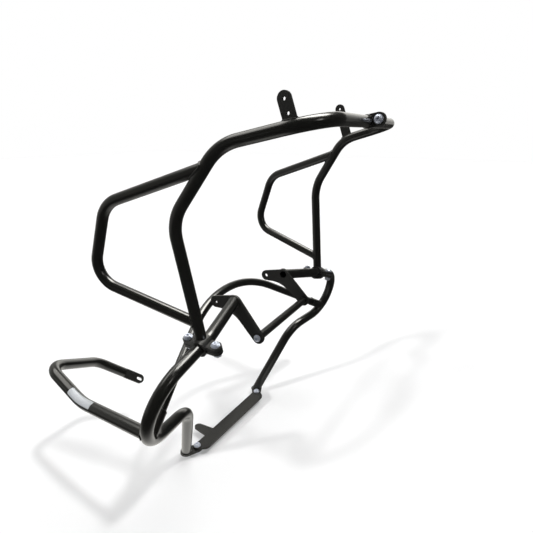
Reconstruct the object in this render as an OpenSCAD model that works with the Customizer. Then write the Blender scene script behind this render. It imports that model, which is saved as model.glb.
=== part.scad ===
// Motorcycle crash bars for a flat twin, in millimetres.
// X points forward, Y to the left of the motorcycle and Z up.
// The origin is midway between the rear lug holes of the two engine plates.
// The sides are called right (Y negative) and left (Y positive).

/* [Tubes] */
// Outer diameter of the upper bars
upper_tube_d = 25; // [24.5:0.5:28]
// Outer diameter of the side loops, a little less than that of the upper bars
loop_tube_d = 24; // [22:0.5:24]
// Wall of the upper bars and side loops
upper_tube_wall = 2; // [1.5:0.5:3]
// Outer diameter of the lower bars
lower_tube_d = 28; // [27.5:0.5:32]
// Outer diameter of the guard loop and of the arch's end sleeves
branch_tube_d = 27; // [25:0.5:27]
// Wall of the lower bars and the guard loop
lower_tube_wall = 2.5; // [1.5:0.5:3.5]
// Outer diameter of the arched tube
arch_tube_d = 22; // [18:0.5:24]
// Outer diameter of the spacer tube
spacer_tube_d = 20; // [18:0.5:22]
// Wall of the arched tube and the spacer tube
thin_wall = 2; // [1.5:0.5:2.5]

/* [Upper bars] */
// Height of the side bend above the engine lugs
side_bend_z = 246; // [226:1:266]
// Distance of the side bend ahead of the engine lugs
side_bend_x = 58; // [48:1:68]
// Distance of the side bend from the middle plane
side_bend_y = 323; // [310:1:335]
// Height of the shoulder bend
shoulder_z = 388; // [375:1:400]
// Distance of the shoulder bend ahead of the engine lugs
shoulder_x = 153; // [140:1:165]
// Distance of the shoulder bend from the middle plane
shoulder_y = 295; // [285:1:305]
// Height of the front corners
front_z = 431; // [420:1:445]
// Reach of the right front corner
front_x_right = 347; // [335:1:360]
// Reach of the left front corner
front_x_left = 298; // [288:1:310]
// Distance of the right front corner from the middle plane
front_y_right = 268; // [258:1:280]
// Distance of the left front corner from the middle plane
front_y_left = 292; // [280:1:300]
// Bend radius at the side
side_bend_r = 95; // [85:1:105]
// Bend radius at the shoulder
shoulder_r = 98; // [88:1:108]
// Bend radius at the front corners
front_r = 76; // [66:1:86]

/* [Side loops] */
// Place of the upper loop joint along the shoulder stretch
loop_top_share = 0.72; // [0.65:0.01:0.78]
// Distance of the upper rear corner behind the engine lugs
loop_top_x = 112; // [100:1:124]
// Height of the upper rear corner
loop_top_z = 268; // [258:1:278]
// Distance of the upper rear corner from the middle plane
loop_top_y = 340; // [330:1:350]
// Distance of the lower rear corner behind the engine lugs
loop_low_x = 172; // [160:1:184]
// Height of the lower rear corner
loop_low_z = 97; // [87:1:107]
// Distance of the lower rear corner from the middle plane
loop_low_y = 342; // [332:1:352]
// Place of the lower loop joint along the upright stretch
loop_foot_share = 0.19; // [0.17:0.01:0.23]
// Bend radius of the upper rear corner
loop_top_r = 70; // [60:1:80]
// Bend radius of the lower rear corner
loop_low_r = 54; // [48:1:60]

/* [Front joint] */
// Thickness of each lug plate
joint_plate_t = 5; // [4:0.5:6]
// Distance from the tube to the bolt, forward
joint_bolt_ahead = 25; // [23:0.5:27]
// Height of the bolt above the tube
joint_bolt_up = 5; // [3:0.5:7]
// Radius of the lug ends
joint_lug_r = 14; // [13.5:0.5:16]

/* [Fairing tabs] */
// Width of the tabs
tab_w = 26; // [22:1:30]
// Thickness of the tabs
tab_t = 5; // [4:0.5:6]
// Lean of the tabs to the rear, in degrees
tab_lean = 19; // [15:1:23]
// Distance between the two holes
tab_hole_gap = 24; // [21:0.5:26]
// Diameter of the tab holes
tab_hole_d = 6.5; // [5:0.5:8]
// Place of the right tab along the front bend
tab_right_share = 0.12; // [0.08:0.01:0.2]
// Height of the right tab's top hole above the tube axis
tab_right_h = 46; // [42:1:50]
// Place of the left tab along the stretch ahead of the shoulder
tab_left_share = 0.10; // [0.06:0.01:0.3]
// Height of the left tab's top hole above the tube axis
tab_left_h = 84; // [76:1:90]

/* [Engine plates] */
// Distance of the plates' outer faces from the middle plane
plate_y = 126; // [120:1:132]
// Thickness of the plates
plate_t = 6; // [5:0.5:8]
// Diameter of the rear lug hole
lug_hole_d = 10.5; // [8:0.5:12]
// Radius of the rear lug
lug_r = 15; // [13:0.5:17]
// Distance from the lug hole forward to the crank of the plate
crank_x = 58; // [52:1:64]
// Height of the crank above the lug hole
crank_z = 7; // [4:1:10]
// Radius of the crank
crank_r = 20; // [18:0.5:22]
// Distance from the lug hole forward to the lower bolt
plate_bolt_x = 126; // [120:1:132]
// Depth of the right lower bolt below the lug hole
plate_bolt_drop_right = 69; // [64:1:74]
// Depth of the left lower bolt below the lug hole
plate_bolt_drop_left = 55; // [50:1:60]
// Radius of the plate end round the lower bolt
plate_end_r = 16; // [14:0.5:18]
// Radius of the inner fillet of the plates
plate_fillet_r = 80; // [60:1:90]

/* [Lower bars] */
// Height of the lower bar at the engine plate
stub_z = 12; // [9:0.5:14]
// Distance of the first bend ahead of the engine lugs
clamp_bend_x = 91; // [85:1:97]
// Distance of the first bend from the middle plane
clamp_bend_y = 266; // [260:1:272]
// Depth of the first bend below the lug hole
clamp_bend_drop = 17; // [12:1:22]
// Distance of the outer bend from the middle plane
outer_bend_y = 436; // [428:1:444]
// Depth of the outer bend
outer_bend_drop = 66; // [60:1:72]
// Distance of the bottom bend ahead of the engine lugs
bottom_bend_x = 47; // [40:1:54]
// Distance of the bottom bend from the middle plane
bottom_bend_y = 442; // [434:1:450]
// Depth of the bottom bend
bottom_bend_drop = 209; // [204:1:215]
// Distance of the inner bend ahead of the engine lugs
inner_bend_x = 13; // [6:1:20]
// Distance of the inner bend from the middle plane
inner_bend_y = 263; // [255:1:270]
// Depth of the inner bend
inner_bend_drop = 226; // [220:1:232]
// Distance of the foot behind the engine lugs
foot_x = 78; // [72:1:84]
// Distance of the foot from the middle plane
foot_y = 184; // [180:1:188]
// Depth of the foot
foot_drop = 449; // [435:1:460]
// Bend radius near the clamp
clamp_bend_r = 70; // [60:1:74]
// Bend radius of the outer bend
outer_bend_r = 98; // [88:1:99]
// Bend radius of the bottom bend
bottom_bend_r = 80; // [70:1:81]
// Bend radius of the inner bend
inner_bend_r = 84; // [74:1:94]

/* [Clamps] */
// Distance of the clamps from the middle plane
clamp_y = 290; // [286:1:296]
// Length of the clamps along the tube
clamp_len = 32; // [26:1:36]
// Distance between the two clamp bolts
clamp_bolt_gap = 74; // [68:1:80]
// Thickness of the clamp shells round the tube
clamp_wall = 6; // [5:0.5:8]
// Thickness of the clamp ears
clamp_ear_t = 8; // [6:0.5:10]
// Gap between the upper and the lower shell
clamp_gap = 2; // [1:0.5:3]

/* [Foot and sump strap] */
// Thickness of the foot plates
foot_plate_t = 6; // [5:0.5:8]
// Distance of the strap bolts behind the engine lugs
strap_bolt_x = 61; // [58:1:64]
// Distance of the strap bolts from the middle plane
strap_bolt_y = 157; // [152:1:160]
// Thickness of the strap
strap_t = 6; // [5:0.5:8]
// Width of the strap
strap_w = 40; // [36:1:44]
// Distance of the strap's middle line behind the engine lugs
strap_x = 50; // [47:1:53]
// Reach of the hooked finger behind the engine lugs
finger_x = 113; // [105:1:120]
// Distance of the finger from the middle plane
finger_y = 88; // [80:1:96]
// Radius of the finger's tip
finger_r = 12; // [10:0.5:14]
// How far the root of the finger lies outward of its tip
finger_slant = 4; // [0:1:8]

/* [Arched tube] */
// Distance of the arch corner behind the engine lugs
arch_x = 80; // [70:1:90]
// Height of the arch corner above the engine lugs
arch_z = 48; // [40:1:56]
// Bend radius of the arch
arch_r = 340; // [300:5:380]
// Length of the end sleeves, from the axis of the lower bar
sleeve_len = 60; // [50:1:70]
// How far the arched tube runs inside its sleeves
arch_inset = 25; // [20:1:30]

/* [Guard loop] */
// Distance of the first bend behind the engine lugs
guard_1_x = 167; // [155:1:180]
// Distance of the first bend from the middle plane
guard_1_y = 419; // [412:1:426]
// Depth of the first bend
guard_1_drop = 184; // [178:1:190]
// Distance of the rear corner behind the engine lugs
guard_2_x = 319; // [308:1:330]
// Distance of the rear corner from the middle plane
guard_2_y = 396; // [388:1:404]
// Depth of the rear corner
guard_2_drop = 146; // [138:1:154]
// Distance of the inner corner behind the engine lugs
guard_3_x = 363; // [353:1:373]
// Distance of the inner corner from the middle plane
guard_3_y = 228; // [220:1:236]
// Depth of the inner corner
guard_3_drop = 229; // [221:1:237]
// Distance of the tube end behind the engine lugs
guard_end_x = 318; // [312:1:324]
// Distance of the tube end from the middle plane
guard_end_y = 172; // [166:1:178]
// Depth of the tube end
guard_end_drop = 281; // [275:1:287]
// Bend radius of the rear corners
guard_r = 60; // [54:1:66]
// Bend radius of the first bend
guard_1_r = 150; // [120:5:180]
// Place of the loop's joint along the bottom bend
guard_share = 0.24; // [0.18:0.01:0.26]
// Length of the end lug from the tube to its hole
guard_lug_len = 48; // [42:1:54]
// Thickness of the end lug
guard_lug_t = 6; // [5:0.5:8]
// Width of the hole slot in the end lug
guard_slot_w = 9; // [7:0.5:11]

/* [Fasteners] */
// Thread diameter of the bolts
bolt_d = 10; // [8:0.5:10]
// Diameter of the button heads
head_d = 17.5; // [16:0.5:19]
// Height of the button heads
head_h = 5.5; // [4.5:0.5:6.5]
// Outer diameter of the washers
washer_d = 20; // [19.5:0.5:21]
// Thickness of the washers
washer_t = 2; // [1.5:0.5:2.5]
// Depth that the spacer bolts reach into the spacer tube
spacer_bolt_reach = 16; // [12:1:20]
// Width of the nuts across the flats
nut_w = 16; // [14:0.5:17]
// Height of the nuts
nut_h = 8; // [6:0.5:10]
// Clearance of a bolt in its hole, on the diameter
hole_clear = 0.6; // [0.4:0.1:1]

/* [Hidden] */
$fn = 28;

tube_black = [0.12, 0.12, 0.11];
plate_black = [0.2, 0.2, 0.19];
zinc = [0.75, 0.77, 0.82];
far = 60;
// Straight stretches run this far into the bends, and are this much slimmer on the radius
seam_overlap = 0.4;
seam_step = 0.06;
// How far straight edges run inside the rounds that they meet
bite = 0.02;

function unit(v) = v / norm(v);
function turn(a, b, c) = acos(unit(b - a) * unit(c - b));
function tangent(a, b, c, r) = r * tan(turn(a, b, c) / 2);
function bend_centre(a, b, c, r) = b + unit(unit(a - b) + unit(c - b)) * r / cos(turn(a, b, c) / 2);
function bend_start(a, b, c, r) = b + unit(a - b) * tangent(a, b, c, r);
// A point on a bend, at a share of its turn
function bend_point(a, b, c, r, share) =
    let (centre = bend_centre(a, b, c, r), s = turn(a, b, c) * share)
    centre + (bend_start(a, b, c, r) - centre) * cos(s) + unit(b - a) * r * sin(s);
function between(a, b, share) = a + (b - a) * share;
// The same point on the other side of the motorcycle
function other_side(p) = [p[0], -p[1], p[2]];

clamp_bore_r = lower_tube_d / 2;

// The lower bar of the right-hand side, from the engine plate to the foot
stub = [crank_x, -plate_y, stub_z];
clamp_bend = [clamp_bend_x, -clamp_bend_y, -clamp_bend_drop];
outer_bend = [clamp_bend_x, -outer_bend_y, -outer_bend_drop];
bottom_bend = [bottom_bend_x, -bottom_bend_y, -bottom_bend_drop];
inner_bend = [inner_bend_x, -inner_bend_y, -inner_bend_drop];
foot = [-foot_x, -foot_y, -foot_drop];
stub_way = unit(clamp_bend - stub);
foot_way = unit(foot - inner_bend);
lower_points = [stub - stub_way * lower_tube_d, clamp_bend, outer_bend, bottom_bend, inner_bend,
    foot + foot_way * lower_tube_d];
lower_radii = [clamp_bend_r, outer_bend_r, bottom_bend_r, inner_bend_r];

// The clamp sits on the straight stretch outside the first bend
clamp_share = (clamp_y - clamp_bend_y) / (outer_bend_y - clamp_bend_y);
clamp_centre = between(clamp_bend, outer_bend, clamp_share);
clamp_tilt = atan2(outer_bend_drop - clamp_bend_drop, outer_bend_y - clamp_bend_y);
clamp_outer_r = clamp_bore_r + clamp_wall;

// The upper bars
side_bend = [side_bend_x, -side_bend_y, side_bend_z];
shoulder = [shoulder_x, -shoulder_y, shoulder_z];
front_right = [front_x_right, -front_y_right, front_z];
front_left = [front_x_left, front_y_left, front_z];
joint = between(front_right, front_left, front_y_right / (front_y_right + front_y_left));
middle = [joint[0], 0, joint[2]];
joint_bolt_x = joint[0] + joint_bolt_ahead;
joint_bolt_z = joint[2] + joint_bolt_up;
upper_radii = [side_bend_r, shoulder_r, front_r];

// The side loop of the right-hand side
loop_top_end = between(side_bend, shoulder, loop_top_share);
loop_top = [-loop_top_x, -loop_top_y, loop_top_z];
loop_low = [-loop_low_x, -loop_low_y, loop_low_z];
loop_low_end = between(clamp_centre, side_bend, loop_foot_share);

// The arched tube ends in the middle of the bottom bends
arch_end = bend_point(outer_bend, bottom_bend, inner_bend, bottom_bend_r, 0.5);
arch_corner = [-arch_x, 0, arch_z];

// The guard loop starts on the rear of the right bottom bend
guard_start = bend_point(outer_bend, bottom_bend, inner_bend, bottom_bend_r, guard_share);
guard_1 = [-guard_1_x, -guard_1_y, -guard_1_drop];
guard_2 = [-guard_2_x, -guard_2_y, -guard_2_drop];
guard_3 = [-guard_3_x, -guard_3_y, -guard_3_drop];
guard_end = [-guard_end_x, -guard_end_y, -guard_end_drop];
guard_way = unit(guard_end - guard_3);

// Heights of the foot, from its plate up
strap_top = -foot_drop + strap_t;
foot_plate_bottom = -foot_drop - foot_plate_t;

module axes(centre, x, y, z)
    multmatrix([[x[0], y[0], z[0], centre[0]], [x[1], y[1], z[1], centre[1]],
        [x[2], y[2], z[2], centre[2]], [0, 0, 0, 1]])
        children();

// Turns the Z axis along a way and moves the origin to a point
module along(point, way) {
    side = unit(cross(abs(way[2]) > 0.99 ? [1, 0, 0] : [0, 0, 1], way));
    axes(point, side, cross(way, side), way) children();
}

module ring(r, bore_r) {
    difference() {
        circle(r);
        if (bore_r > 0) circle(bore_r);
    }
}

module straight(a, b, r, bore_r)
    along(a, unit(b - a))
        linear_extrude(norm(b - a)) ring(r, bore_r, $fn = 20);

module bend(a, b, c, bend_r, r, bore_r) {
    centre = bend_centre(a, b, c, bend_r);
    out = unit(bend_start(a, b, c, bend_r) - centre);
    axes(centre, out, unit(b - a), cross(out, unit(b - a)))
        rotate_extrude(angle = turn(a, b, c), $fn = 32)
            translate([bend_r, 0]) ring(r, bore_r, $fn = 20);
}

// A tube through its corner points, with a bend radius for each inner corner
module tube(points, radii, r, bore_r = 0) {
    last = len(points) - 1;
    for (i = [0 : last - 1]) {
        way = unit(points[i + 1] - points[i]);
        start = i == 0 ? points[0] : points[i]
            + way * (tangent(points[i - 1], points[i], points[i + 1], radii[i - 1]) - seam_overlap);
        end = i == last - 1 ? points[last] : points[i + 1]
            - way * (tangent(points[i], points[i + 1], points[i + 2], radii[i]) - seam_overlap);
        straight(start, end, r - seam_step, bore_r > 0 ? bore_r + seam_step : 0);
    }
    for (i = [1 : last - 1])
        bend(points[i - 1], points[i], points[i + 1], radii[i - 1], r, bore_r);
}

// A plate with two round ends and straight edges between them
module link(a, ra, b, rb, t) {
    heading = atan2(b[1] - a[1], b[0] - a[0]);
    spread = acos((ra - rb) / norm(b - a));
    translate(a) cylinder(r = ra, h = t);
    translate(b) cylinder(r = rb, h = t);
    linear_extrude(t)
        polygon([a + (ra - bite) * [cos(heading + spread), sin(heading + spread)],
            b + (rb - bite) * [cos(heading + spread), sin(heading + spread)],
            b + (rb - bite) * [cos(heading - spread), sin(heading - spread)],
            a + (ra - bite) * [cos(heading - spread), sin(heading - spread)]]);
}

// A hole through a plate of thickness t
module hole(at, d, t) translate([at[0], at[1], -1]) cylinder(d = d, h = t + 2);

// Stands a flat plate up in the X-Z plane, with its outer face at y on the right-hand side
module upright(y) translate([0, y, 0]) rotate([90, 0, 0]) children();

module mirror_left() mirror([0, 1, 0]) children();

// Button head with a hexagon socket, seated at z = 0 with its shank below
module button_bolt(shank) {
    difference() {
        union() {
            cylinder(d = head_d, h = head_h * 0.45);
            translate([0, 0, head_h * 0.45]) cylinder(d1 = head_d, d2 = head_d * 0.6, h = head_h * 0.55);
            translate([0, 0, -shank]) cylinder(d = bolt_d, h = shank);
        }
        translate([0, 0, head_h * 0.4]) cylinder(d = bolt_d * 0.6, h = head_h, $fn = 6);
    }
}

module washer() {
    difference() {
        cylinder(d = washer_d, h = washer_t);
        translate([0, 0, -1]) cylinder(d = bolt_d + hole_clear, h = washer_t + 2);
    }
}

module nut() {
    difference() {
        cylinder(d = nut_w / cos(30), h = nut_h, $fn = 6);
        translate([0, 0, -1]) cylinder(d = bolt_d, h = nut_h + 2);
    }
}

module upper_bar(front) {
    difference() {
        tube([clamp_centre, side_bend, shoulder, front, middle],
            upper_radii, upper_tube_d / 2, upper_tube_d / 2 - upper_tube_wall);
        clamp_placed() clamp_round(clamp_outer_r, clamp_len + far);
        translate([joint[0] - far, -joint_plate_t, joint[2] - far]) cube(2 * far);
    }
}

module upper_bar_right() color(tube_black) upper_bar(front_right);

module upper_bar_left() color(tube_black) mirror_left() upper_bar(other_side(front_left));

module side_loop() {
    difference() {
        tube([loop_top_end, loop_top, loop_low, loop_low_end], [loop_top_r, loop_low_r],
            loop_tube_d / 2, loop_tube_d / 2 - upper_tube_wall);
        straight(side_bend, shoulder, upper_tube_d / 2, 0);
        straight(clamp_centre, side_bend, upper_tube_d / 2, 0);
    }
}

module side_loop_right() color(tube_black) side_loop();

module side_loop_left() color(tube_black) mirror_left() side_loop();

module joint_lug() {
    bolt_at = [joint_bolt_x, joint_bolt_z];
    upright(0)
        difference() {
            link([joint[0], joint[2]], joint_lug_r, bolt_at, joint_lug_r, joint_plate_t);
            hole(bolt_at, bolt_d + hole_clear, joint_plate_t);
        }
}

module joint_lug_right() color(plate_black) joint_lug();

module joint_lug_left() color(plate_black) mirror_left() joint_lug();

// Places a fastener of the front joint, head to the right
module at_joint(y) translate([joint_bolt_x, y, joint_bolt_z]) rotate([90, 0, 0]) children();

module joint_bolt()
    color(zinc) at_joint(-joint_plate_t - washer_t)
        button_bolt(2 * joint_plate_t + 2 * washer_t + nut_h + 2);

module joint_washers() {
    color(zinc) {
        at_joint(-joint_plate_t) washer();
        at_joint(joint_plate_t + washer_t) washer();
    }
}

module joint_nut() color(zinc) at_joint(joint_plate_t + washer_t + nut_h) nut();

module fairing_tab(front, foot_point, height) {
    difference() {
        translate([foot_point[0], foot_point[1] + tab_t / 2, foot_point[2]])
            rotate([90, -tab_lean, 0])
                difference() {
                    union() {
                        translate([0, height, 0]) cylinder(r = tab_w / 2, h = tab_t);
                        translate([bite - tab_w / 2, 0, 0]) cube([tab_w - 2 * bite, height, tab_t]);
                    }
                    hole([0, height], tab_hole_d, tab_t);
                    hole([0, height - tab_hole_gap], tab_hole_d, tab_t);
                }
        tube([side_bend, shoulder, front, middle], [shoulder_r, front_r], upper_tube_d / 2);
        translate([foot_point[0] - far, foot_point[1] - far, foot_point[2] - 2 * far]) cube(2 * far);
    }
}

module fairing_tab_right()
    color(plate_black)
        fairing_tab(front_right,
            bend_point(shoulder, front_right, middle, front_r, tab_right_share), tab_right_h);

module fairing_tab_left()
    color(plate_black) mirror_left()
        fairing_tab(other_side(front_left),
            between(shoulder, other_side(front_left), tab_left_share), tab_left_h);

// The clamp's own frame has the tube along Y and the bolts along Z
module clamp_placed() translate(clamp_centre) rotate([clamp_tilt, 0, 0]) children();

module clamp_round(r, length) rotate([90, 0, 0]) cylinder(r = r, h = length, center = true);

module clamp_ear(side) {
    half_len = clamp_len / 2;
    translate([side * clamp_bolt_gap / 2, 0, clamp_gap / 2]) cylinder(r = half_len * 0.8, h = clamp_ear_t);
    translate([side > 0 ? 0 : -clamp_bolt_gap / 2, -half_len * 0.8, clamp_gap / 2])
        cube([clamp_bolt_gap / 2, half_len * 1.6, clamp_ear_t]);
}

module clamp_half() {
    difference() {
        union() {
            difference() {
                clamp_round(clamp_outer_r, clamp_len);
                translate([-far, -far, clamp_gap / 2 - 2 * far]) cube(2 * far);
            }
            clamp_ear(1);
            clamp_ear(-1);
        }
        clamp_round(clamp_bore_r, clamp_len + 2);
        for (side = [-1, 1])
            translate([side * clamp_bolt_gap / 2, 0, 0]) cylinder(d = bolt_d + hole_clear, h = far);
    }
}

module clamp_shell() clamp_placed() clamp_half();

module clamp_cap() clamp_placed() rotate([0, 180, 0]) clamp_half();

// Places the children at both bolts of the clamp, at a height in its own frame
module at_clamp_bolts(z)
    clamp_placed()
        for (side = [-1, 1])
            translate([side * clamp_bolt_gap / 2, 0, z]) children();

clamp_face = clamp_gap / 2 + clamp_ear_t;

module clamp_bolts()
    at_clamp_bolts(clamp_face + washer_t) button_bolt(2 * clamp_face + washer_t + nut_h + 2);

module clamp_shell_right() color(plate_black) clamp_shell();

module clamp_shell_left() color(plate_black) mirror_left() clamp_shell();

module clamp_cap_right() color(plate_black) clamp_cap();

module clamp_cap_left() color(plate_black) mirror_left() clamp_cap();

module clamp_bolts_right() color(zinc) clamp_bolts();

module clamp_bolts_left() color(zinc) mirror_left() clamp_bolts();

module clamp_washers_right() color(zinc) at_clamp_bolts(clamp_face) washer();

module clamp_washers_left() color(zinc) mirror_left() at_clamp_bolts(clamp_face) washer();

module clamp_nuts_right() color(zinc) at_clamp_bolts(-clamp_face - nut_h) nut();

module clamp_nuts_left() color(zinc) mirror_left() at_clamp_bolts(-clamp_face - nut_h) nut();

// Fills a corner of an outline with a concave round, from a point inside the outline
module fillet(inside, corner, way_a, way_b, r) {
    half = acos(way_a * way_b) / 2;
    difference() {
        polygon([inside, corner + way_a * r / tan(half), corner + way_b * r / tan(half)]);
        translate(corner + unit(way_a + way_b) * (r - 3 * bite) / sin(half)) circle(r, $fn = 144);
    }
}

module engine_plate(bolt_drop) {
    crank = [crank_x, crank_z];
    low = [plate_bolt_x, -bolt_drop];
    arm = unit(low - crank);
    heading = atan2(crank_z, crank_x);
    spread = acos((lug_r - crank_r) / norm(crank));
    under_a = lug_r * [cos(heading - spread), sin(heading - spread)];
    under_b = crank + crank_r * [cos(heading - spread), sin(heading - spread)];
    under = unit(under_b - under_a);
    arm_heading = atan2(arm[1], arm[0]);
    arm_spread = acos((crank_r - plate_end_r) / norm(low - crank));
    left_a = crank + crank_r * [cos(arm_heading - arm_spread), sin(arm_heading - arm_spread)];
    left_b = low + plate_end_r * [cos(arm_heading - arm_spread), sin(arm_heading - arm_spread)];
    left = unit(left_b - left_a);
    // Where the underside of the lug arm meets the inner side of the lower arm
    reach = cross(left_a - under_a, left) / cross(under, left);
    corner = under_a + under * reach;
    upright(plate_t - plate_y)
        difference() {
            union() {
                link([0, 0], lug_r, crank, crank_r, plate_t);
                link(crank, crank_r, low, plate_end_r, plate_t);
                linear_extrude(plate_t) fillet(crank, corner, -under, left, plate_fillet_r);
            }
            hole([0, 0], lug_hole_d, plate_t);
            hole(low, bolt_d + hole_clear, plate_t);
            hole([stub[0], stub[2]], lower_tube_d - 2 * lower_tube_wall - 2, plate_t);
        }
}

module engine_plate_right() color(plate_black) engine_plate(plate_bolt_drop_right);

module engine_plate_left() color(plate_black) mirror_left() engine_plate(plate_bolt_drop_left);

module lower_bar() {
    difference() {
        tube(lower_points, lower_radii, lower_tube_d / 2, lower_tube_d / 2 - lower_tube_wall);
        translate([stub[0] - far, -plate_y, stub[2] - far]) cube(2 * far);
        translate([foot[0] - far, foot[1] - far, -foot_drop - 2 * far]) cube(2 * far);
    }
}

module lower_bar_right() color(tube_black) lower_bar();

module lower_bar_left() color(tube_black) mirror_left() lower_bar();

module foot_plate() {
    bolt_at = [-strap_bolt_x, -strap_bolt_y];
    translate([0, 0, foot_plate_bottom])
        difference() {
            link([foot[0], foot[1]], lower_tube_d / 2 + 3, bolt_at, lower_tube_d / 2, foot_plate_t);
            hole(bolt_at, bolt_d + hole_clear, foot_plate_t);
        }
}

module foot_plate_right() color(plate_black) foot_plate();

module foot_plate_left() color(plate_black) mirror_left() foot_plate();

module sump_strap() {
    half = strap_w / 2;
    end_y = strap_bolt_y - half;
    pad_r = washer_d / 2 + 1;
    root = [-strap_x, -finger_y - finger_slant];
    color(plate_black)
        translate([0, 0, -foot_drop])
            difference() {
                union() {
                    link([-strap_x, -end_y], half, [-strap_x, end_y], half, strap_t);
                    for (side = [-1, 1])
                        link([-strap_x, side * end_y], half,
                            [-strap_bolt_x, side * strap_bolt_y], pad_r, strap_t);
                    link(root, half, [-finger_x, -finger_y], finger_r, strap_t);
                }
                for (side = [-1, 1])
                    hole([-strap_bolt_x, side * strap_bolt_y], bolt_d + hole_clear, strap_t);
            }
}

module at_strap_bolts(z)
    for (side = [-1, 1])
        translate([-strap_bolt_x, side * strap_bolt_y, z]) children();

module strap_bolts()
    color(zinc) at_strap_bolts(strap_top + washer_t)
        button_bolt(washer_t + strap_t + foot_plate_t + nut_h + 2);

module strap_washers() color(zinc) at_strap_bolts(strap_top) washer();

module strap_nuts() color(zinc) at_strap_bolts(foot_plate_bottom - nut_h) nut();

module arch_tube() {
    color(tube_black)
        difference() {
            tube([arch_end, arch_corner, other_side(arch_end)], [arch_r],
                arch_tube_d / 2, arch_tube_d / 2 - thin_wall);
            for (side = [1, -1])
                mirror([0, side > 0 ? 0 : 1, 0])
                    along(arch_end, unit(arch_corner - arch_end))
                        translate([-far, -far, -far + sleeve_len - arch_inset]) cube([2 * far, 2 * far, far]);
        }
}

module arch_sleeve() {
    way = unit(arch_corner - arch_end);
    difference() {
        straight(arch_end, arch_end + way * sleeve_len, branch_tube_d / 2, arch_tube_d / 2);
        bend(outer_bend, bottom_bend, inner_bend, bottom_bend_r, lower_tube_d / 2, 0);
    }
}

module arch_sleeve_right() color(tube_black) arch_sleeve();

module arch_sleeve_left() color(tube_black) mirror_left() arch_sleeve();

module spacer_tube() {
    inner_y = plate_y - plate_t;
    right = [plate_bolt_x, -inner_y, -plate_bolt_drop_right];
    left = [plate_bolt_x, inner_y, -plate_bolt_drop_left];
    way = unit(left - right);
    color(tube_black)
        difference() {
            straight(right - way * spacer_tube_d, left + way * spacer_tube_d,
                spacer_tube_d / 2, spacer_tube_d / 2 - thin_wall);
            translate(right - [far, 2 * far, far]) cube(2 * far);
            translate(left - [far, 0, far]) cube(2 * far);
        }
}

module at_spacer_ends(y) {
    translate([plate_bolt_x, -y, -plate_bolt_drop_right]) rotate([90, 0, 0]) children();
    translate([plate_bolt_x, y, -plate_bolt_drop_left]) rotate([-90, 0, 0]) children();
}

module spacer_bolts()
    color(zinc) at_spacer_ends(plate_y + washer_t)
        button_bolt(plate_t + washer_t + spacer_bolt_reach);

module spacer_washers() color(plate_black) at_spacer_ends(plate_y) washer();

module guard_loop() {
    color(tube_black)
        difference() {
            tube([guard_start, guard_1, guard_2, guard_3, guard_end], [guard_1_r, guard_r, guard_r],
                branch_tube_d / 2, branch_tube_d / 2 - lower_tube_wall);
            bend(outer_bend, bottom_bend, inner_bend, bottom_bend_r, lower_tube_d / 2, 0);
        }
}

module guard_lug() {
    side = unit(cross(guard_way, [1, 0, 0.4]));
    slot_half = guard_slot_w / 2;
    color(plate_black)
        axes(guard_end, guard_way, side, cross(guard_way, side))
            translate([0, 0, -guard_lug_t / 2])
                difference() {
                    union() {
                        translate([guard_lug_len, 0, 0]) cylinder(d = branch_tube_d, h = guard_lug_t);
                        translate([0, bite - branch_tube_d / 2, 0])
                            cube([guard_lug_len, branch_tube_d - 2 * bite, guard_lug_t]);
                    }
                    hole([guard_lug_len - slot_half, 0], guard_slot_w, guard_lug_t);
                    hole([guard_lug_len + slot_half, 0], guard_slot_w, guard_lug_t);
                    translate([guard_lug_len - slot_half, bite - slot_half, -1])
                        cube([guard_slot_w, guard_slot_w - 2 * bite, guard_lug_t + 2]);
                }
}

upper_bar_right();
upper_bar_left();
side_loop_right();
side_loop_left();
joint_lug_right();
joint_lug_left();
joint_bolt();
joint_washers();
joint_nut();
fairing_tab_right();
fairing_tab_left();
clamp_shell_right();
clamp_shell_left();
clamp_cap_right();
clamp_cap_left();
clamp_bolts_right();
clamp_bolts_left();
clamp_washers_right();
clamp_washers_left();
clamp_nuts_right();
clamp_nuts_left();
engine_plate_right();
engine_plate_left();
lower_bar_right();
lower_bar_left();
foot_plate_right();
foot_plate_left();
sump_strap();
strap_bolts();
strap_washers();
strap_nuts();
arch_tube();
arch_sleeve_right();
arch_sleeve_left();
spacer_tube();
spacer_bolts();
spacer_washers();
guard_loop();
guard_lug();
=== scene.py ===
import math
import bpy
import bmesh
from mathutils import Matrix, Vector


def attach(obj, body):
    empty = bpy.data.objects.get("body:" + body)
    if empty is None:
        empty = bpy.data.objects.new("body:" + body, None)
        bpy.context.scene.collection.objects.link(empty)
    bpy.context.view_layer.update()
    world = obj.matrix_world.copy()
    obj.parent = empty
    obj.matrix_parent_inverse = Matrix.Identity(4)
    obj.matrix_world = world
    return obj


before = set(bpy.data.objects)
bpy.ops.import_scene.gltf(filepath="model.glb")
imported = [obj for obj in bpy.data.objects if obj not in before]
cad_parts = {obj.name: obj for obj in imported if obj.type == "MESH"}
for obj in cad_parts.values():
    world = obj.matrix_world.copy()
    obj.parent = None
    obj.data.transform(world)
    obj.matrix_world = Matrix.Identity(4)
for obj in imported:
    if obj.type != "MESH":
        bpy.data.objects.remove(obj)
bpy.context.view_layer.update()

# Crash bars for a flat-twin motorcycle, powder coated black, on a white studio floor.
# Metres, +X to the front, +Y to the motorcycle's left, +Z up. The photograph looks from the right front.

MM = 0.001
FLOOR_Z = -0.470
BEND_STEPS = 24


# The tubes' paths, as in the part's source

def point(x, y, z):
    return Vector((x, y, z)) * MM


def mirrored(p):
    return Vector((p.x, -p.y, p.z))


def between(a, b, share):
    return a + (b - a) * share


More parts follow.
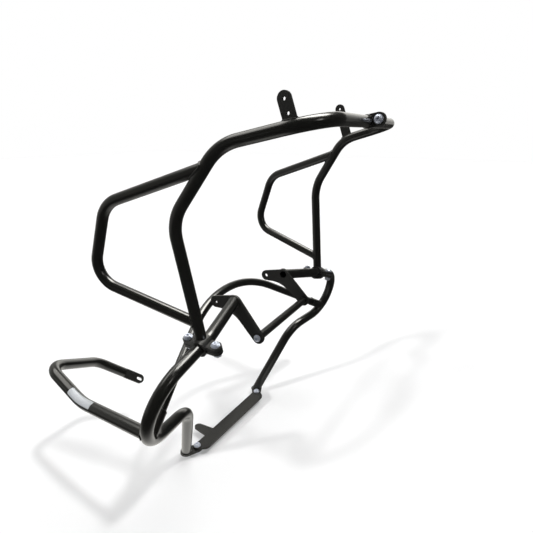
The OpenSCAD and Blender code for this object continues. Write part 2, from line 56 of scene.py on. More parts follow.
def bend_of(a, b, c, radius):
    """Centre, first point, first direction and turn of the bend at corner b."""
    into, out = (b - a).normalized(), (c - b).normalized()
    turn = into.angle(out)
    centre = b + (out - into).normalized() * radius / math.cos(turn / 2)
    start = b - into * radius * math.tan(turn / 2)
    return centre, start, into, turn


def bend_point(a, b, c, radius, share):
    centre, start, into, turn = bend_of(a, b, c, radius)
    return centre + (start - centre) * math.cos(turn * share) + into * radius * math.sin(turn * share)


def centreline(corners, radii, step=2 * MM):
    """Points along a bent tube's axis, close together in the bends and along the straights."""
    rough = [corners[0]]
    for i, radius in enumerate(radii, start=1):
        before, corner, after = corners[i - 1:i + 2]
        for k in range(BEND_STEPS + 1):
            rough.append(bend_point(before, corner, after, radius, k / BEND_STEPS))
    rough.append(corners[-1])
    points = [rough[0]]
    for a, b in zip(rough, rough[1:]):
        parts = max(1, int((b - a).length / step))
        points += [between(a, b, (k + 1) / parts) for k in range(parts)]
    return points


def distance_to(path, p):
    """Distance from a point to a path of short pieces."""
    near = min(range(len(path)), key=lambda i: (path[i] - p).length_squared)
    best = (path[near] - p).length
    for a, b in ((near - 1, near), (near, near + 1)):
        if a < 0 or b >= len(path):
            continue
        line = path[b] - path[a]
        share = max(0.0, min(1.0, (p - path[a]).dot(line) / line.length_squared))
        best = min(best, (path[a] + line * share - p).length)
    return best


# Radii of the tubes, and of the bends that a branch or a tab stands on
UPPER_R, LOOP_R, LOWER_R, BRANCH_R = 12.5 * MM, 12 * MM, 14 * MM, 13.5 * MM
BOTTOM_BEND_R, FRONT_BEND_R = 80 * MM, 76 * MM

# Where a piece stands, as a share of its stretch or bend
CLAMP_SHARE = 24 / 170
LOOP_TOP_SHARE, LOOP_LOW_SHARE = 0.72, 0.19
SLEEVE_SHARE, GUARD_SHARE = 0.5, 0.24
TAB_RIGHT_SHARE, TAB_LEFT_SHARE = 0.12, 0.10

# The lower bar, from the engine plate to the foot
stub = point(58, -126, 12)
clamp_bend = point(91, -266, -17)
outer_bend = point(91, -436, -66)
bottom_bend = point(47, -442, -209)
inner_bend = point(13, -263, -226)
foot = point(-78, -184, -449)
clamp_centre = between(clamp_bend, outer_bend, CLAMP_SHARE)
lower_path = centreline([stub, clamp_bend, outer_bend, bottom_bend, inner_bend, foot],
                        [70 * MM, 98 * MM, BOTTOM_BEND_R, 84 * MM])

# The upper bars, which meet at the front joint
side_bend = point(58, -323, 246)
shoulder = point(153, -295, 388)
front_right = point(347, -268, 431)
front_left = point(298, 292, 431)
joint = between(front_right, front_left, front_right.y / (front_right.y - front_left.y))
middle = Vector((joint.x, 0, joint.z))
upper_radii = [95 * MM, 98 * MM, FRONT_BEND_R]
upper_path = {
    "right": centreline([clamp_centre, side_bend, shoulder, front_right, middle],
                        upper_radii),
    "left": centreline([clamp_centre, side_bend, shoulder, mirrored(front_left), middle],
                       upper_radii),
}

# The side loop
loop_top_end = between(side_bend, shoulder, LOOP_TOP_SHARE)
loop_top = point(-112, -340, 268)
loop_low = point(-172, -342, 97)
loop_low_end = between(clamp_centre, side_bend, LOOP_LOW_SHARE)

# The arched tube and the guard loop
arch_end = bend_point(outer_bend, bottom_bend, inner_bend, BOTTOM_BEND_R, SLEEVE_SHARE)
arch_corner = point(-80, 0, 48)
guard_start = bend_point(outer_bend, bottom_bend, inner_bend, BOTTOM_BEND_R, GUARD_SHARE)
guard_1 = point(-167, -419, -184)
guard_2 = point(-319, -396, -146)
guard_3 = point(-363, -228, -229)
guard_end = point(-318, -172, -281)
guard_path = centreline([guard_start, guard_1, guard_2, guard_3, guard_end],
                        [150 * MM, 60 * MM, 60 * MM])


# Shader groups

def shader_group(name, inputs, outputs):
    """An empty shader group with named inputs (name, kind, value) and outputs (name, kind)."""
    tree = bpy.data.node_groups.new(name, "ShaderNodeTree")
    for label, kind, value in inputs:
        socket = tree.interface.new_socket(label, in_out="INPUT", socket_type="NodeSocket" + kind)
        socket.default_value = value
    for label, kind in outputs:
        tree.interface.new_socket(label, in_out="OUTPUT", socket_type="NodeSocket" + kind)
    return tree, tree.nodes.new("NodeGroupInput"), tree.nodes.new("NodeGroupOutput")


def node(tree, kind, values=None, **settings):
    made = tree.nodes.new(kind)
    for name, value in settings.items():
        setattr(made, name, value)
    for name, value in (values or {}).items():
        made.inputs[name].default_value = value
    return made


def math_node(tree, operation, a, b=None, clamp=False):
    made = tree.nodes.new("ShaderNodeMath")
    made.operation = operation
    made.use_clamp = clamp
    for slot, value in ((0, a), (1, b)):
        if value is None:
            continue
        if isinstance(value, (int, float)):
            made.inputs[slot].default_value = value
        else:
            tree.links.new(value, made.inputs[slot])
    return made.outputs[0]


def make_powder_coat():
    """Powder coat: the orange peel of the melted powder, slow changes of tone, dust, and lighter edges that
    are partly rubbed coat and partly a painted edge highlight.
    """
    tree, given, out = shader_group(
        "powder_coat",
        [("Coat Colour", "Color", (0.012, 0.012, 0.011, 1)),
         ("Rubbed And Highlight Colour", "Color", (0.05, 0.05, 0.048, 1)),
         ("Peel Size", "Float", 420.0), ("Peel Height", "Float", 0.3),
         ("Roughness", "Float", 0.25), ("Roughness Spread", "Float", 0.08),
         ("Edge Radius", "Float", 0.0012), ("Edge Wear And Highlight", "Float", 0.5)],
        [("Colour", "Color"), ("Roughness", "Float"), ("Normal", "Vector")])
    link = tree.links.new
    place = node(tree, "ShaderNodeTexCoord")

    peel = node(tree, "ShaderNodeTexNoise", {"Detail": 2.0, "Roughness": 0.45})
    link(place.outputs["Object"], peel.inputs["Vector"])
    link(given.outputs["Peel Size"], peel.inputs["Scale"])
    grit = node(tree, "ShaderNodeTexNoise", {"Detail": 3.0, "Scale": 2600.0})
    link(place.outputs["Object"], grit.inputs["Vector"])
    slow = node(tree, "ShaderNodeTexNoise", {"Detail": 4.0, "Scale": 9.0, "Roughness": 0.6})
    link(place.outputs["Object"], slow.inputs["Vector"])

    grit_share, edge_gain, rubbed_rougher = 0.12, 5.0, 0.15
    height = math_node(tree, "MULTIPLY_ADD", grit.outputs["Fac"], grit_share)
    link(peel.outputs["Fac"], height.node.inputs[2])
    bump = node(tree, "ShaderNodeBump", {"Distance": 0.00006})
    link(height, bump.inputs["Height"])
    link(given.outputs["Peel Height"], bump.inputs["Strength"])

    # Edge mask: lighter colour on edges, partly rubbed coat and partly a painted edge highlight
    rounded = node(tree, "ShaderNodeBevel", samples=6)
    link(given.outputs["Edge Radius"], rounded.inputs["Radius"])
    flat = node(tree, "ShaderNodeNewGeometry")
    agree = node(tree, "ShaderNodeVectorMath", operation="DOT_PRODUCT")
    link(rounded.outputs["Normal"], agree.inputs[0])
    link(flat.outputs["Normal"], agree.inputs[1])
    edge = math_node(tree, "SUBTRACT", 1.0, agree.outputs["Value"])
    edge = math_node(tree, "MULTIPLY", edge, edge_gain, clamp=True)
    broken = math_node(tree, "MULTIPLY", edge, slow.outputs["Fac"])
    worn_and_highlight = math_node(tree, "MULTIPLY", broken, given.outputs["Edge Wear And Highlight"], clamp=True)

    tone = node(tree, "ShaderNodeMapRange",
                {"From Min": 0.35, "From Max": 0.7, "To Min": 0.0, "To Max": 0.35})
    link(slow.outputs["Fac"], tone.inputs["Value"])
    paint = node(tree, "ShaderNodeMix", data_type="RGBA")
    amount = math_node(tree, "MAXIMUM", tone.outputs["Result"], worn_and_highlight)
    link(amount, paint.inputs["Factor"])
    link(given.outputs["Coat Colour"], paint.inputs["A"])
    link(given.outputs["Rubbed And Highlight Colour"], paint.inputs["B"])

    spread = math_node(tree, "SUBTRACT", slow.outputs["Fac"], 0.5)
    spread = math_node(tree, "MULTIPLY", spread, given.outputs["Roughness Spread"])
    rough = math_node(tree, "MULTIPLY_ADD", worn_and_highlight, rubbed_rougher)
    link(math_node(tree, "ADD", spread, given.outputs["Roughness"]), rough.node.inputs[2])

    link(paint.outputs["Result"], out.inputs["Colour"])
    link(rough, out.inputs["Roughness"])
    link(bump.outputs["Normal"], out.inputs["Normal"])
    return tree


def make_machined_zinc():
    """Zinc plate on turned steel: fine turning lines, cloudy bluish passivation and dull patches."""
    tree, given, out = shader_group(
        "machined_zinc",
        [("Bright", "Color", (0.62, 0.66, 0.74, 1)), ("Dull", "Color", (0.40, 0.43, 0.50, 1)),
         ("Cloud Size", "Float", 160.0), ("Line Size", "Float", 3200.0), ("Line Height", "Float", 0.25),
         ("Roughness", "Float", 0.3)],
        [("Colour", "Color"), ("Roughness", "Float"), ("Normal", "Vector")])
    link = tree.links.new
    place = node(tree, "ShaderNodeTexCoord")
    cloud = node(tree, "ShaderNodeTexNoise", {"Detail": 5.0, "Roughness": 0.65})
    link(place.outputs["Object"], cloud.inputs["Vector"])
    link(given.outputs["Cloud Size"], cloud.inputs["Scale"])
    lines = node(tree, "ShaderNodeTexNoise", {"Detail": 2.0})
    link(place.outputs["Object"], lines.inputs["Vector"])
    link(given.outputs["Line Size"], lines.inputs["Scale"])
    plate = node(tree, "ShaderNodeMix", data_type="RGBA")
    link(cloud.outputs["Fac"], plate.inputs["Factor"])
    link(given.outputs["Bright"], plate.inputs["A"])
    link(given.outputs["Dull"], plate.inputs["B"])
    rough = math_node(tree, "MULTIPLY_ADD", cloud.outputs["Fac"], 0.2)
    link(given.outputs["Roughness"], rough.node.inputs[2])
    bump = node(tree, "ShaderNodeBump", {"Distance": 0.00003})
    link(lines.outputs["Fac"], bump.inputs["Height"])
    link(given.outputs["Line Height"], bump.inputs["Strength"])
    link(plate.outputs["Result"], out.inputs["Colour"])
    link(rough, out.inputs["Roughness"])
    link(bump.outputs["Normal"], out.inputs["Normal"])
    return tree


POWDER_COAT = make_powder_coat()
MACHINED_ZINC = make_machined_zinc()


def material(name):
    made = bpy.data.materials.new(name)
    made.use_nodes = True
    tree = made.node_tree
    return made, tree, tree.nodes["Principled BSDF"]


def coated(name, values, coat, coat_roughness, specular):
    """A powder coated steel surface with its own values of the shared group."""
    made, tree, skin = material(name)
    coat_group = tree.nodes.new("ShaderNodeGroup")
    coat_group.node_tree = POWDER_COAT
    for label, value in values.items():
        coat_group.inputs[label].default_value = value
    tree.links.new(coat_group.outputs["Colour"], skin.inputs["Base Color"])
    tree.links.new(coat_group.outputs["Roughness"], skin.inputs["Roughness"])
    tree.links.new(coat_group.outputs["Normal"], skin.inputs["Normal"])
    skin.inputs["Specular IOR Level"].default_value = specular
    skin.inputs["Coat Weight"].default_value = coat
    skin.inputs["Coat Roughness"].default_value = coat_roughness
    return made


def plated(name, values, metallic):
    """A zinc plated or bare metal surface with its own values of the shared group."""
    made, tree, skin = material(name)
    zinc_group = tree.nodes.new("ShaderNodeGroup")
    zinc_group.node_tree = MACHINED_ZINC
    for label, value in values.items():
        zinc_group.inputs[label].default_value = value
    tree.links.new(zinc_group.outputs["Colour"], skin.inputs["Base Color"])
    tree.links.new(zinc_group.outputs["Roughness"], skin.inputs["Roughness"])
    tree.links.new(zinc_group.outputs["Normal"], skin.inputs["Normal"])
    skin.inputs["Metallic"].default_value = metallic
    return made


# The lighter edge colour in these values is partly rubbed coat and partly a painted edge highlight
gloss_coat = coated("gloss_black_tube",
                    {"Coat Colour": (0.0048, 0.0048, 0.004, 1), "Rubbed And Highlight Colour": (0.010, 0.0098, 0.0085, 1),
                     "Roughness": 0.32, "Peel Size": 380.0, "Peel Height": 0.15, "Edge Wear And Highlight": 0.3},
                    coat=0.7, coat_roughness=0.12, specular=0.5)
satin_coat = coated("satin_black_plate",
                    {"Coat Colour": (0.0125, 0.0125, 0.0115, 1), "Rubbed And Highlight Colour": (0.035, 0.034, 0.032, 1),
                     "Roughness": 0.42, "Peel Size": 520.0, "Peel Height": 0.45, "Edge Wear And Highlight": 0.8},
                    coat=0.0, coat_roughness=0.25, specular=0.3)
weld_coat = coated("coated_weld",
                   {"Coat Colour": (0.0075, 0.0072, 0.0065, 1), "Rubbed And Highlight Colour": (0.022, 0.021, 0.02, 1),
                    "Roughness": 0.30, "Peel Size": 800.0, "Peel Height": 0.35, "Edge Wear And Highlight": 0.0},
                   coat=0.25, coat_roughness=0.12, specular=0.5)
bolt_zinc = plated("zinc_bolts", {"Bright": (0.82, 0.86, 0.96, 1), "Dull": (0.50, 0.54, 0.64, 1)},
                   metallic=0.75)
washer_zinc = plated("zinc_washers",
                     {"Bright": (0.62, 0.65, 0.71, 1), "Dull": (0.42, 0.44, 0.5, 1), "Roughness": 0.36},
                     metallic=0.7)
nut_zinc = plated("zinc_nuts",
                  {"Bright": (0.66, 0.69, 0.75, 1), "Dull": (0.44, 0.47, 0.53, 1),
                   "Cloud Size": 240.0, "Roughness": 0.34},
                  metallic=0.7)


def finish_of(name):
    if name.endswith("washers") or "_washers_" in name:
        return satin_coat if name.startswith("spacer") else washer_zinc
    if name.endswith("nut") or "_nuts" in name:
        return nut_zinc
    if "bolt" in name:
        return bolt_zinc
    if name.startswith(("upper_bar", "side_loop", "lower_bar", "arch", "guard_loop", "spacer_tube")):
        return gloss_coat
    return satin_coat


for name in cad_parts:
    solid = bpy.data.objects.get(name)
    if solid is None or solid.type != "MESH":
        continue
    coat = finish_of(name)
    if not solid.data.materials:
        solid.data.materials.append(coat)
    for slot in solid.material_slots:
        slot.material = coat


# Weld beads, made by Geometry Nodes along each joint

def weld_tree():
    """A bead of overlapping ripples along a path of edges."""
    tree = bpy.data.node_groups.new("weld_bead", "GeometryNodeTree")
    sockets = {}
    tree.interface.new_socket("Geometry", in_out="INPUT", socket_type="NodeSocketGeometry")
    for label, kind, value in (("Bead Width", "Float", 0.005), ("Ripple Pitch", "Float", 0.0022),
                               ("Ripple Depth", "Float", 0.16), ("Wobble", "Float", 0.12),
                               ("Seed", "Float", 3.0)):
        socket = tree.interface.new_socket(label, in_out="INPUT", socket_type="NodeSocket" + kind)
        socket.default_value = value
        sockets[label] = socket.identifier
    sockets["Material"] = tree.interface.new_socket("Material", in_out="INPUT",
                                                    socket_type="NodeSocketMaterial").identifier
    tree.interface.new_socket("Geometry", in_out="OUTPUT", socket_type="NodeSocketGeometry")
    link = tree.links.new
    given, out = tree.nodes.new("NodeGroupInput"), tree.nodes.new("NodeGroupOutput")
    path = tree.nodes.new("GeometryNodeMeshToCurve")
    link(given.outputs["Geometry"], path.inputs["Mesh"])
    even = node(tree, "GeometryNodeResampleCurve", mode="LENGTH")
    link(path.outputs["Curve"], even.inputs["Curve"])
    link(math_node(tree, "DIVIDE", given.outputs["Ripple Pitch"], 4.0), even.inputs["Length"])

    along = tree.nodes.new("GeometryNodeSplineParameter")
    count = math_node(tree, "DIVIDE", along.outputs["Length"], given.outputs["Ripple Pitch"])
    saw = math_node(tree, "FRACT", count)
    crest = math_node(tree, "MULTIPLY", saw, saw)
    ripple = math_node(tree, "MULTIPLY", crest, given.outputs["Ripple Depth"])
    place = tree.nodes.new("GeometryNodeInputPosition")
    shake = node(tree, "ShaderNodeTexNoise", {"Scale": 160.0, "Detail": 2.0}, noise_dimensions="4D")
    link(place.outputs["Position"], shake.inputs["Vector"])
    link(given.outputs["Seed"], shake.inputs["W"])
    swing = math_node(tree, "SUBTRACT", shake.outputs["Fac"], 0.5)
    swing = math_node(tree, "MULTIPLY", swing, given.outputs["Wobble"])
    size = math_node(tree, "SUBTRACT", 1.0, ripple)
    size = math_node(tree, "ADD", size, swing)

    shaped = tree.nodes.new("GeometryNodeSetCurveRadius")
    link(even.outputs["Curve"], shaped.inputs["Curve"])
    link(size, shaped.inputs["Radius"])
    ring = node(tree, "GeometryNodeCurvePrimitiveCircle", {"Resolution": 10})
    link(math_node(tree, "MULTIPLY", given.outputs["Bead Width"], 0.5), ring.inputs["Radius"])
    bead = tree.nodes.new("GeometryNodeCurveToMesh")
    link(shaped.outputs["Curve"], bead.inputs["Curve"])
    link(ring.outputs["Curve"], bead.inputs["Profile Curve"])
    if "Scale" in bead.inputs:
        link(size, bead.inputs["Scale"])
    bead.inputs["Fill Caps"].default_value = True
    smooth = tree.nodes.new("GeometryNodeSetShadeSmooth")
    link(bead.outputs["Mesh"], smooth.inputs["Geometry"])
    real = tree.nodes.new("GeometryNodeRealizeInstances")
    link(smooth.outputs["Geometry"], real.inputs["Geometry"])
    dressed = tree.nodes.new("GeometryNodeSetMaterial")
    link(real.outputs["Geometry"], dressed.inputs["Geometry"])
    link(given.outputs["Material"], dressed.inputs["Material"])
    link(dressed.outputs["Geometry"], out.inputs["Geometry"])
    return tree, sockets


WELD_TREE, WELD_SOCKETS = weld_tree()

# How far a joint is searched for, and how often that reach is halved
REACH = 120 * MM
HALVINGS = 26


def side_ways(way):
    side = way.cross(Vector((0, 0, 1)) if abs(way.z) < 0.9 else Vector((1, 0, 0))).normalized()
    return side, way.cross(side).normalized()


def ring_on_tube(start, way, branch_r, path, tube_r, turns=72):
    """Closed path where a straight branch tube meets the outside of another tube."""
    way = way.normalized()
    side, up = side_ways(way)
    points = []
    for k in range(turns):
        angle = 2 * math.pi * k / turns
        rim = start + (side * math.cos(angle) + up * math.sin(angle)) * branch_r
        low, high = 0.0, REACH
        for _ in range(HALVINGS):
            half = (low + high) / 2
            if distance_to(path, rim + way * half) > tube_r:
                high = half
            else:
                low = half
        points.append(rim + way * high)
    return points, True


def ring_on_plane(centre, way, tube_r, flat_point, normal, turns=64):
    """Closed path where a straight tube meets a flat plate."""
    way = way.normalized()
    side, up = side_ways(way)
    points = []
    for k in range(turns):
        angle = 2 * math.pi * k / turns
        rim = centre + (side * math.cos(angle) + up * math.sin(angle)) * tube_r
        points.append(rim + way * ((flat_point - rim).dot(normal) / way.dot(normal)))
    return points, True


def line_on_tube(y, x_low, x_high, path, tube_r, steps=24):
    """Open path where the side of an upright tab, at y, stands on top of a tube."""
    points = []
    for k in range(steps + 1):
        x = x_low + (x_high - x_low) * k / steps
        near = min(path, key=lambda p: (p.x - x) ** 2 + (p.y - y) ** 2)
        low, high = near.z, near.z + 2 * tube_r
        for _ in range(HALVINGS):
            half = (low + high) / 2
            if distance_to(path, Vector((x, y, half))) > tube_r:
                high = half
            else:
                low = half
        points.append(Vector((x, y, high)))
    return points, False


def weld(name, paths, width=0.005, pitch=0.0022, seed=3.0):
    """Bakes one joint's beads into a plain mesh that rides on the frame."""
    mesh = bpy.data.meshes.new(name + "_path")
    verts, edges = [], []
    for points, closed in paths:
        first = len(verts)
        verts += points
        edges += [(first + k, first + k + 1) for k in range(len(points) - 1)]
        if closed:
            edges.append((first + len(points) - 1, first))
    mesh.from_pydata(verts, edges, [])
    source = bpy.data.objects.new(name + "_path", mesh)
    bpy.context.collection.objects.link(source)
    maker = source.modifiers.new("bead", "NODES")
    maker.node_group = WELD_TREE
    for label, value in (("Bead Width", width), ("Ripple Pitch", pitch), ("Seed", seed),
                         ("Material", weld_coat)):
        maker[WELD_SOCKETS[label]] = value
    ready = source.evaluated_get(bpy.context.evaluated_depsgraph_get())
    baked = bpy.data.meshes.new_from_object(ready)
    bpy.data.objects.remove(source)
    bead = bpy.data.objects.new(name, baked)
    baked.name = name
    bpy.context.collection.objects.link(bead)
    if not baked.materials:
        baked.materials.append(weld_coat)
    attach(bead, "root")


def flipped(paths):
    return [([mirrored(p) for p in points], closed) for points, closed in paths]


SLEEVE_LEN = 60 * MM
SLEEVE_MOUTH_R = 11.8 * MM
TAB_HALF_T, TAB_HALF_W = 3.1 * MM, 13 * MM
TAB_LEAN = math.radians(19)
JOINT_GAP = 5 * MM

loop_top_weld = ring_on_tube(loop_top_end, loop_top - loop_top_end, LOOP_R,
                             upper_path["right"], UPPER_R)
loop_low_weld = ring_on_tube(loop_low_end, loop_low - loop_low_end, LOOP_R,
                             upper_path["right"], UPPER_R)
sleeve_weld = ring_on_tube(arch_end, arch_corner - arch_end, BRANCH_R, lower_path, LOWER_R)
sleeve_way = (arch_corner - arch_end).normalized()
sleeve_mouth = arch_end + sleeve_way * SLEEVE_LEN
mouth_weld = ring_on_plane(sleeve_mouth, sleeve_way, SLEEVE_MOUTH_R, sleeve_mouth, sleeve_way)
guard_weld = ring_on_tube(guard_start, guard_1 - guard_start, BRANCH_R, lower_path, LOWER_R)
stub_weld = ring_on_plane(stub, clamp_bend - stub, LOWER_R, stub, Vector((0, 1, 0)))
foot_weld = ring_on_plane(foot, foot - inner_bend, LOWER_R, foot, Vector((0, 0, 1)))

weld("loop_welds_right", [loop_top_weld, loop_low_weld], seed=1.0)
weld("loop_welds_left", flipped([loop_top_weld, loop_low_weld]), seed=2.0)
weld("sleeve_welds_right", [sleeve_weld, mouth_weld], seed=3.0)
weld("sleeve_welds_left", flipped([sleeve_weld, mouth_weld]), seed=4.0)
weld("guard_weld", [guard_weld], width=0.0045, seed=5.0)
weld("stub_weld_right", [stub_weld], width=0.006, seed=6.0)
weld("stub_weld_left", flipped([stub_weld]), width=0.006, seed=7.0)
weld("foot_weld_right", [foot_weld], width=0.0055, seed=8.0)
weld("foot_weld_left", flipped([foot_weld]), width=0.0055, seed=9.0)

for side, front, flip in (("right", front_right, False), ("left", mirrored(front_left), True)):
    end_way = middle - front
    at = Vector((middle.x, -JOINT_GAP, middle.z))
    bead = ring_on_plane(at, end_way, UPPER_R, at, Vector((0, 1, 0)))
    weld("joint_weld_" + side, flipped([bead]) if flip else [bead], width=0.0045, seed=10.0)

tab_foot = {
    "right": bend_point(shoulder, front_right, middle, FRONT_BEND_R, TAB_RIGHT_SHARE),
    "left": between(shoulder, mirrored(front_left), TAB_LEFT_SHARE),
}
for side in ("right", "left"):
    at, x = tab_foot[side], tab_foot[side].x - math.tan(TAB_LEAN) * UPPER_R
    beads = [line_on_tube(at.y + face * TAB_HALF_T, x - TAB_HALF_W, x + TAB_HALF_W,
                          upper_path[side], UPPER_R)
             for face in (-1, 1)]
    weld("tab_welds_" + side, flipped(beads) if side == "left" else beads,
         width=0.0035, pitch=0.0018, seed=11.0)


# The bare label plate on the guard loop

LABEL_LEN, LABEL_CORNER, LABEL_T = 88 * MM, 2.2 * MM, 0.4 * MM
LABEL_LIFT = 0.05 * MM
# The stretch of the guard loop's path, in points: how many lie ahead of the corner, and how many in all
LABEL_AHEAD, LABEL_POINTS = 23, 44
LABEL_FROM, LABEL_ROUND = math.radians(-14), math.radians(86)


def label_plate():
    """A thin bare aluminium plate that wraps round the tube, on the stretch before the rear corner."""
    near = min(range(len(guard_path)), key=lambda i: (guard_path[i] - guard_1).length)
    start = near - LABEL_AHEAD
    cuts_along, cuts_round = 28, 12
    made = bmesh.new()
    grid = []
    for i in range(cuts_along + 1):
        s = LABEL_LEN * i / cuts_along
        exact = start + s / LABEL_LEN * LABEL_POINTS
        k, share = int(exact), exact - int(exact)
        centre = between(guard_path[k], guard_path[k + 1], share)
        way = (guard_path[k + 2] - guard_path[k - 1]).normalized()
        outer = way.cross(Vector((0, 0, 1))).normalized()
        if outer.y > 0:
            outer = -outer
        top = outer.cross(way).normalized()
        if top.z < 0:
            top = -top
        row = []
        pull = max(0.0, 1 - min(s, LABEL_LEN - s) / LABEL_CORNER)
        for j in range(cuts_round + 1):
            share_round = j / cuts_round
            trim = LABEL_CORNER * (1 - math.sqrt(max(0.0, 1 - pull ** 2))) / BRANCH_R
            angle = LABEL_FROM + trim + (LABEL_ROUND - 2 * trim) * share_round
            away = top * math.cos(angle) + outer * math.sin(angle)
            row.append(made.verts.new(centre + away * (BRANCH_R + LABEL_LIFT)))
        grid.append(row)
    for a, b in zip(grid, grid[1:]):
        for j in range(cuts_round):
            made.faces.new((a[j], a[j + 1], b[j + 1], b[j]))
    bmesh.ops.recalc_face_normals(made, faces=made.faces)
    if sum(f.normal.y for f in made.faces) > 0:
        bmesh.ops.reverse_faces(made, faces=made.faces)
    mesh = bpy.data.meshes.new("label_plate")
    made.to_mesh(mesh)
    made.free()
    plate = bpy.data.objects.new("label_plate", mesh)
    bpy.context.collection.objects.link(plate)
    thick = plate.modifiers.new("thickness", "SOLIDIFY")
    thick.thickness = LABEL_T
    thick.offset = 1.0
    for face in mesh.polygons:
        face.use_smooth = True
    return plate


label_metal = plated("label_metal",
                     {"Bright": (0.60, 0.62, 0.64, 1), "Dull": (0.40, 0.42, 0.44, 1),
                      "Cloud Size": 260.0, "Line Size": 1800.0, "Roughness": 0.42},
                     metallic=0.15)
label = label_plate()
label.data.materials.append(label_metal)
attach(label, "root")


# Floor, world, suns and camera

def make_softbox():
    """One soft-edged light box on the sky, by the direction towards it and its half sizes."""
    tree, given, out = shader_group(
        "softbox",
        [("Towards", "Vector", (0, 0, 1)), ("Across", "Vector", (0, 1, 0)), ("Half Width", "Float", 0.4),
         ("Half Height", "Float", 0.25), ("Brightness", "Float", 5.0)],
        [("Light", "Float")])
    link = tree.links.new
    place = node(tree, "ShaderNodeTexCoord")
    rise = node(tree, "ShaderNodeVectorMath", operation="CROSS_PRODUCT")
    link(given.outputs["Towards"], rise.inputs[0])
    link(given.outputs["Across"], rise.inputs[1])

    def share_of(way, half_size):
        along = node(tree, "ShaderNodeVectorMath", operation="DOT_PRODUCT")
        link(place.outputs["Generated"], along.inputs[0])
        link(way, along.inputs[1])
        return math_node(tree, "DIVIDE", along.outputs["Value"], half_size)

    wide = share_of(given.outputs["Across"], given.outputs["Half Width"])
    high = share_of(rise.outputs["Vector"], given.outputs["Half Height"])
    reach = math_node(tree, "ADD", math_node(tree, "MULTIPLY", wide, wide),
                      math_node(tree, "MULTIPLY", high, high))
    inside = node(tree, "ShaderNodeMapRange", {"From Min": 1.5, "From Max": 0.5},
                  interpolation_type="SMOOTHSTEP")
    link(reach, inside.inputs["Value"])
    ahead = node(tree, "ShaderNodeVectorMath", operation="DOT_PRODUCT")
    link(place.outputs["Generated"], ahead.inputs[0])
    link(given.outputs["Towards"], ahead.inputs[1])
    facing = math_node(tree, "GREATER_THAN", ahead.outputs["Value"], 0.0)
    lit = math_node(tree, "MULTIPLY", inside.outputs["Result"], given.outputs["Brightness"])
    link(math_node(tree, "MULTIPLY", lit, facing), out.inputs["Light"])
    return tree


SOFTBOX = make_softbox()
WHITE, WARM = (1, 1, 1, 1), (1, 0.985, 0.93, 1)
# Light of the room without its boxes, the share of it that reaches matt surfaces, and the paper's glow
DARK_ROOM = 0.045
WORLD_DIFFUSE = 0.35
FLOOR_GLOW = 0.265
PAPER_HALF = 14.0
# Centre of the painted pool of light that mirror rays see on the floor
PAINTED_POOL_CENTRE = (-0.20, -0.22, FLOOR_Z)
# Name, direction towards the box, direction of its width, half width, half height and brightness
BOXES = [
    ("top_box", (0.05, 0.307, 0.950), (0.999, 0.0, -0.053), 0.36, 0.27, 15.0),
    ("rear_top_box", (-0.602, -0.021, 0.799), (0.0, 1.0, 0.0), 0.45, 0.21, 3.0),
    ("rear_wall", (-0.989, 0.148, 0.0), (0.148, 0.989, 0.0), 0.85, 0.60, 0.3),
    ("left_wall", (-0.375, 0.927, 0.0), (0.927, 0.375, 0.0), 0.46, 0.45, 1.1),
    ("front_lamp", (0.844, -0.195, 0.500), (0.225, 0.974, 0.0), 0.11, 0.11, 4.0),
]


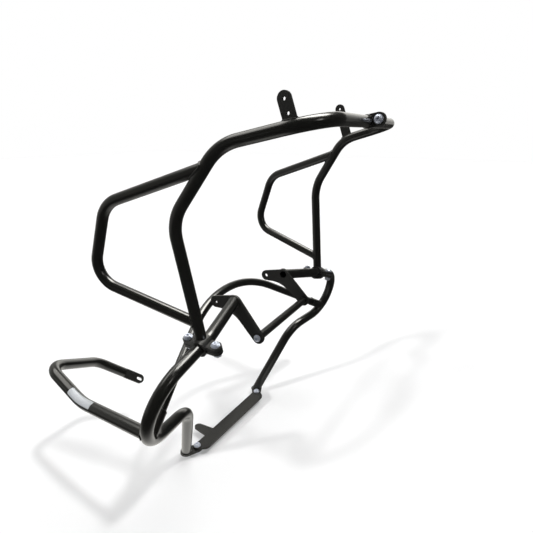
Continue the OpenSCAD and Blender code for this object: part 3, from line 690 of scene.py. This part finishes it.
def make_floor():
    """White paper, white to the camera; mirror rays see it as emission instead: a painted pool of light
    near the bars and a painted glow towards the rear.
    """
    made = bmesh.new()
    for x, y in ((-1, -1), (1, -1), (1, 1), (-1, 1)):
        made.verts.new((x * PAPER_HALF, y * PAPER_HALF, FLOOR_Z))
    made.faces.new(made.verts)
    mesh = bpy.data.meshes.new("studio_floor")
    made.to_mesh(mesh)
    made.free()
    floor = bpy.data.objects.new("studio_floor", mesh)
    bpy.context.collection.objects.link(floor)
    paper, tree, skin = material("white_paper")
    link = tree.links.new
    skin.inputs["Base Color"].default_value = (0.62, 0.62, 0.62, 1)
    skin.inputs["Roughness"].default_value = 0.9
    skin.inputs["Specular IOR Level"].default_value = 0.0
    place = node(tree, "ShaderNodeTexCoord")
    fibre = node(tree, "ShaderNodeTexNoise", {"Scale": 300.0, "Detail": 3.0})
    link(place.outputs["Object"], fibre.inputs["Vector"])
    bump = node(tree, "ShaderNodeBump", {"Strength": 0.05, "Distance": 0.0002})
    link(fibre.outputs["Fac"], bump.inputs["Height"])
    link(bump.outputs["Normal"], skin.inputs["Normal"])

    rays = node(tree, "ShaderNodeLightPath")
    seen = math_node(tree, "MAXIMUM", rays.outputs["Is Camera Ray"], rays.outputs["Is Transmission Ray"])
    glow = node(tree, "ShaderNodeEmission", {"Color": WHITE})
    link(math_node(tree, "MULTIPLY", seen, FLOOR_GLOW), glow.inputs["Strength"])
    both = tree.nodes.new("ShaderNodeAddShader")
    link(skin.outputs["BSDF"], both.inputs[0])
    link(glow.outputs["Emission"], both.inputs[1])

    # Painted pool of light: emission for mirror rays, brightest round its centre and fading outwards
    away = node(tree, "ShaderNodeVectorMath", operation="DISTANCE")
    link(place.outputs["Object"], away.inputs[0])
    away.inputs[1].default_value = PAINTED_POOL_CENTRE
    near = node(tree, "ShaderNodeMapRange",
                {"From Min": 0.60, "From Max": 0.22, "To Min": 0.0, "To Max": 0.9},
                interpolation_type="SMOOTHSTEP")
    link(away.outputs["Value"], near.inputs["Value"])
    parts = node(tree, "ShaderNodeSeparateXYZ")
    link(place.outputs["Object"], parts.inputs["Vector"])
    # Painted glow for mirror rays that grows towards the rear of the floor
    rear = node(tree, "ShaderNodeMapRange",
                {"From Min": -0.8, "From Max": -2.2, "To Min": DARK_ROOM, "To Max": 0.3},
                interpolation_type="SMOOTHSTEP")
    link(parts.outputs["X"], rear.inputs["Value"])
    # Painted floor reflection: mirror rays see this emission in place of the paper
    painted_floor_reflection = node(tree, "ShaderNodeEmission", {"Color": WARM})
    link(math_node(tree, "ADD", near.outputs["Result"], rear.outputs["Result"]),
         painted_floor_reflection.inputs["Strength"])
    choice = tree.nodes.new("ShaderNodeMixShader")
    link(rays.outputs["Is Glossy Ray"], choice.inputs["Fac"])
    link(both.outputs["Shader"], choice.inputs[1])
    link(painted_floor_reflection.outputs["Emission"], choice.inputs[2])
    link(choice.outputs["Shader"], tree.nodes["Material Output"].inputs["Surface"])
    mesh.materials.append(paper)


def make_world():
    """White to the camera; for the rest a dark room with the light boxes that the gloss tubes show."""
    world = bpy.data.worlds.new("studio")
    bpy.context.scene.world = world
    world.use_nodes = True
    tree = world.node_tree
    link = tree.links.new
    sky = tree.nodes["Background"]
    room = None
    for label, towards, across, half_width, half_height, brightness in BOXES:
        box = tree.nodes.new("ShaderNodeGroup")
        box.node_tree = SOFTBOX
        box.label = label
        for key, value in (("Towards", towards), ("Across", across), ("Half Width", half_width),
                           ("Half Height", half_height), ("Brightness", brightness)):
            box.inputs[key].default_value = value
        room = math_node(tree, "ADD", box.outputs["Light"], DARK_ROOM if room is None else room)
    rays = node(tree, "ShaderNodeLightPath")
    share = math_node(tree, "MULTIPLY_ADD", rays.outputs["Is Glossy Ray"], 1.0 - WORLD_DIFFUSE)
    share.node.inputs[2].default_value = WORLD_DIFFUSE
    room = math_node(tree, "MULTIPLY", room, share)
    seen = math_node(tree, "MAXIMUM", rays.outputs["Is Camera Ray"], rays.outputs["Is Transmission Ray"])
    colour = node(tree, "ShaderNodeMix", {"A": WARM, "B": WHITE}, data_type="RGBA")
    link(math_node(tree, "SUBTRACT", 1.0, rays.outputs["Is Glossy Ray"]), colour.inputs["Factor"])
    link(colour.outputs["Result"], sky.inputs["Color"])
    strength = node(tree, "ShaderNodeMix", {"B": 1.0}, data_type="FLOAT")
    link(seen, strength.inputs["Factor"])
    link(room, strength.inputs["A"])
    link(strength.outputs["Result"], sky.inputs["Strength"])


SUN_ANGLE = math.radians(5)


def add_sun(name, at, power):
    """A soft sun that shines from a point to the origin; mirror rays don't see it."""
    data = bpy.data.lights.new(name, "SUN")
    data.energy = power
    data.angle = SUN_ANGLE
    made = bpy.data.objects.new(name, data)
    bpy.context.collection.objects.link(made)
    made.location = at
    made.rotation_euler = (-Vector(at)).to_track_quat("-Z", "Y").to_euler()
    made.visible_glossy = False


make_floor()
make_world()
add_sun("front_sun", (1.5, 0.0, 3.0), 1.42)
add_sun("right_sun", (-1.5, -3.5, 2.5), 1.66)

# The photograph's lens, as a length in its own pixels, and its width
LENS_PX, PHOTO_PX, SENSOR = 432.52, 533, 36

camera_data = bpy.data.cameras.new("camera")
camera = bpy.data.objects.new("camera", camera_data)
bpy.context.collection.objects.link(camera)
camera_data.sensor_width = SENSOR
camera_data.lens = LENS_PX / PHOTO_PX * SENSOR
camera_data.clip_start, camera_data.clip_end = 0.01, 100
turned = Matrix(((0.854965, -0.154049, 0.495281),
                 (0.518685, 0.253948, -0.816380),
                 (0, 0.954871, 0.297019)))
camera.matrix_world = Matrix.Translation((0.6395, -0.9311, 0.4101)) @ turned.to_4x4()
bpy.context.scene.camera = camera
bpy.context.scene.view_settings.view_transform = "Standard"
